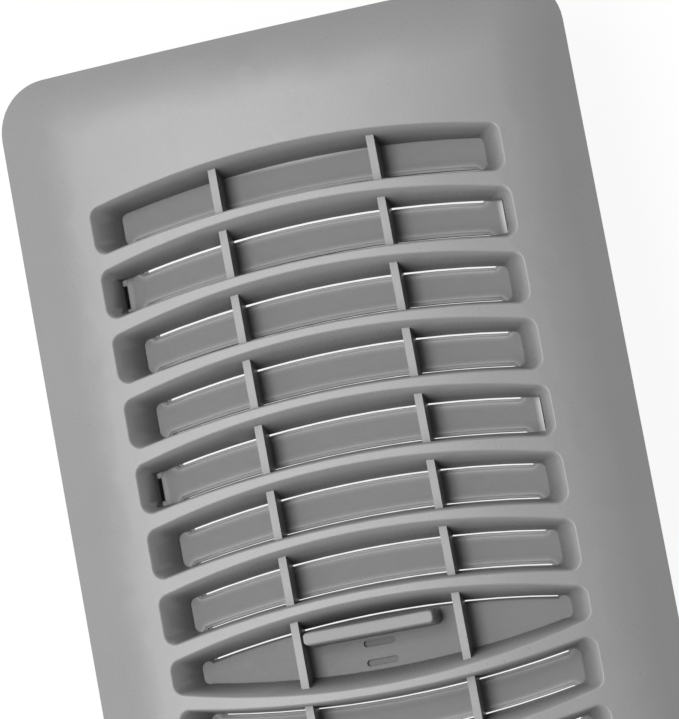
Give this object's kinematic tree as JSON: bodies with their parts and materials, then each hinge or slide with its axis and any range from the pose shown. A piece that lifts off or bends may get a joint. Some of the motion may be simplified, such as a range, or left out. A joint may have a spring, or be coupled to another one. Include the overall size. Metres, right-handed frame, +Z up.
{
  "type": "floor register",
  "caption": "Rectangular floor register: convex flanged face with curved slots, duct collar below, and a sliding damper plate worked by a thumb tab.",
  "frame": {"origin": "centre of the collar's bottom rim", "axes": "+Z up out of the face, +Y along the register towards the slide's prongs, +X across it"},
  "size_m": [0.1396, 0.2964, 0.038],
  "materials": {
    "face_plastic": "mid grey, satin, very fine moulded grain",
    "slide_plastic": "mid grey, satin, smooth"
  },
  "bodies": {
    "face": {"face_grille": "face_plastic"},
    "damper": {"damper_slide": "slide_plastic"}
  },
  "joints": [
    {"name": "damper_travel", "type": "slide", "parent": "face", "child": "damper", "axis": [0, -1, 0], "range_m": [0, 0.0065]}
  ]
}
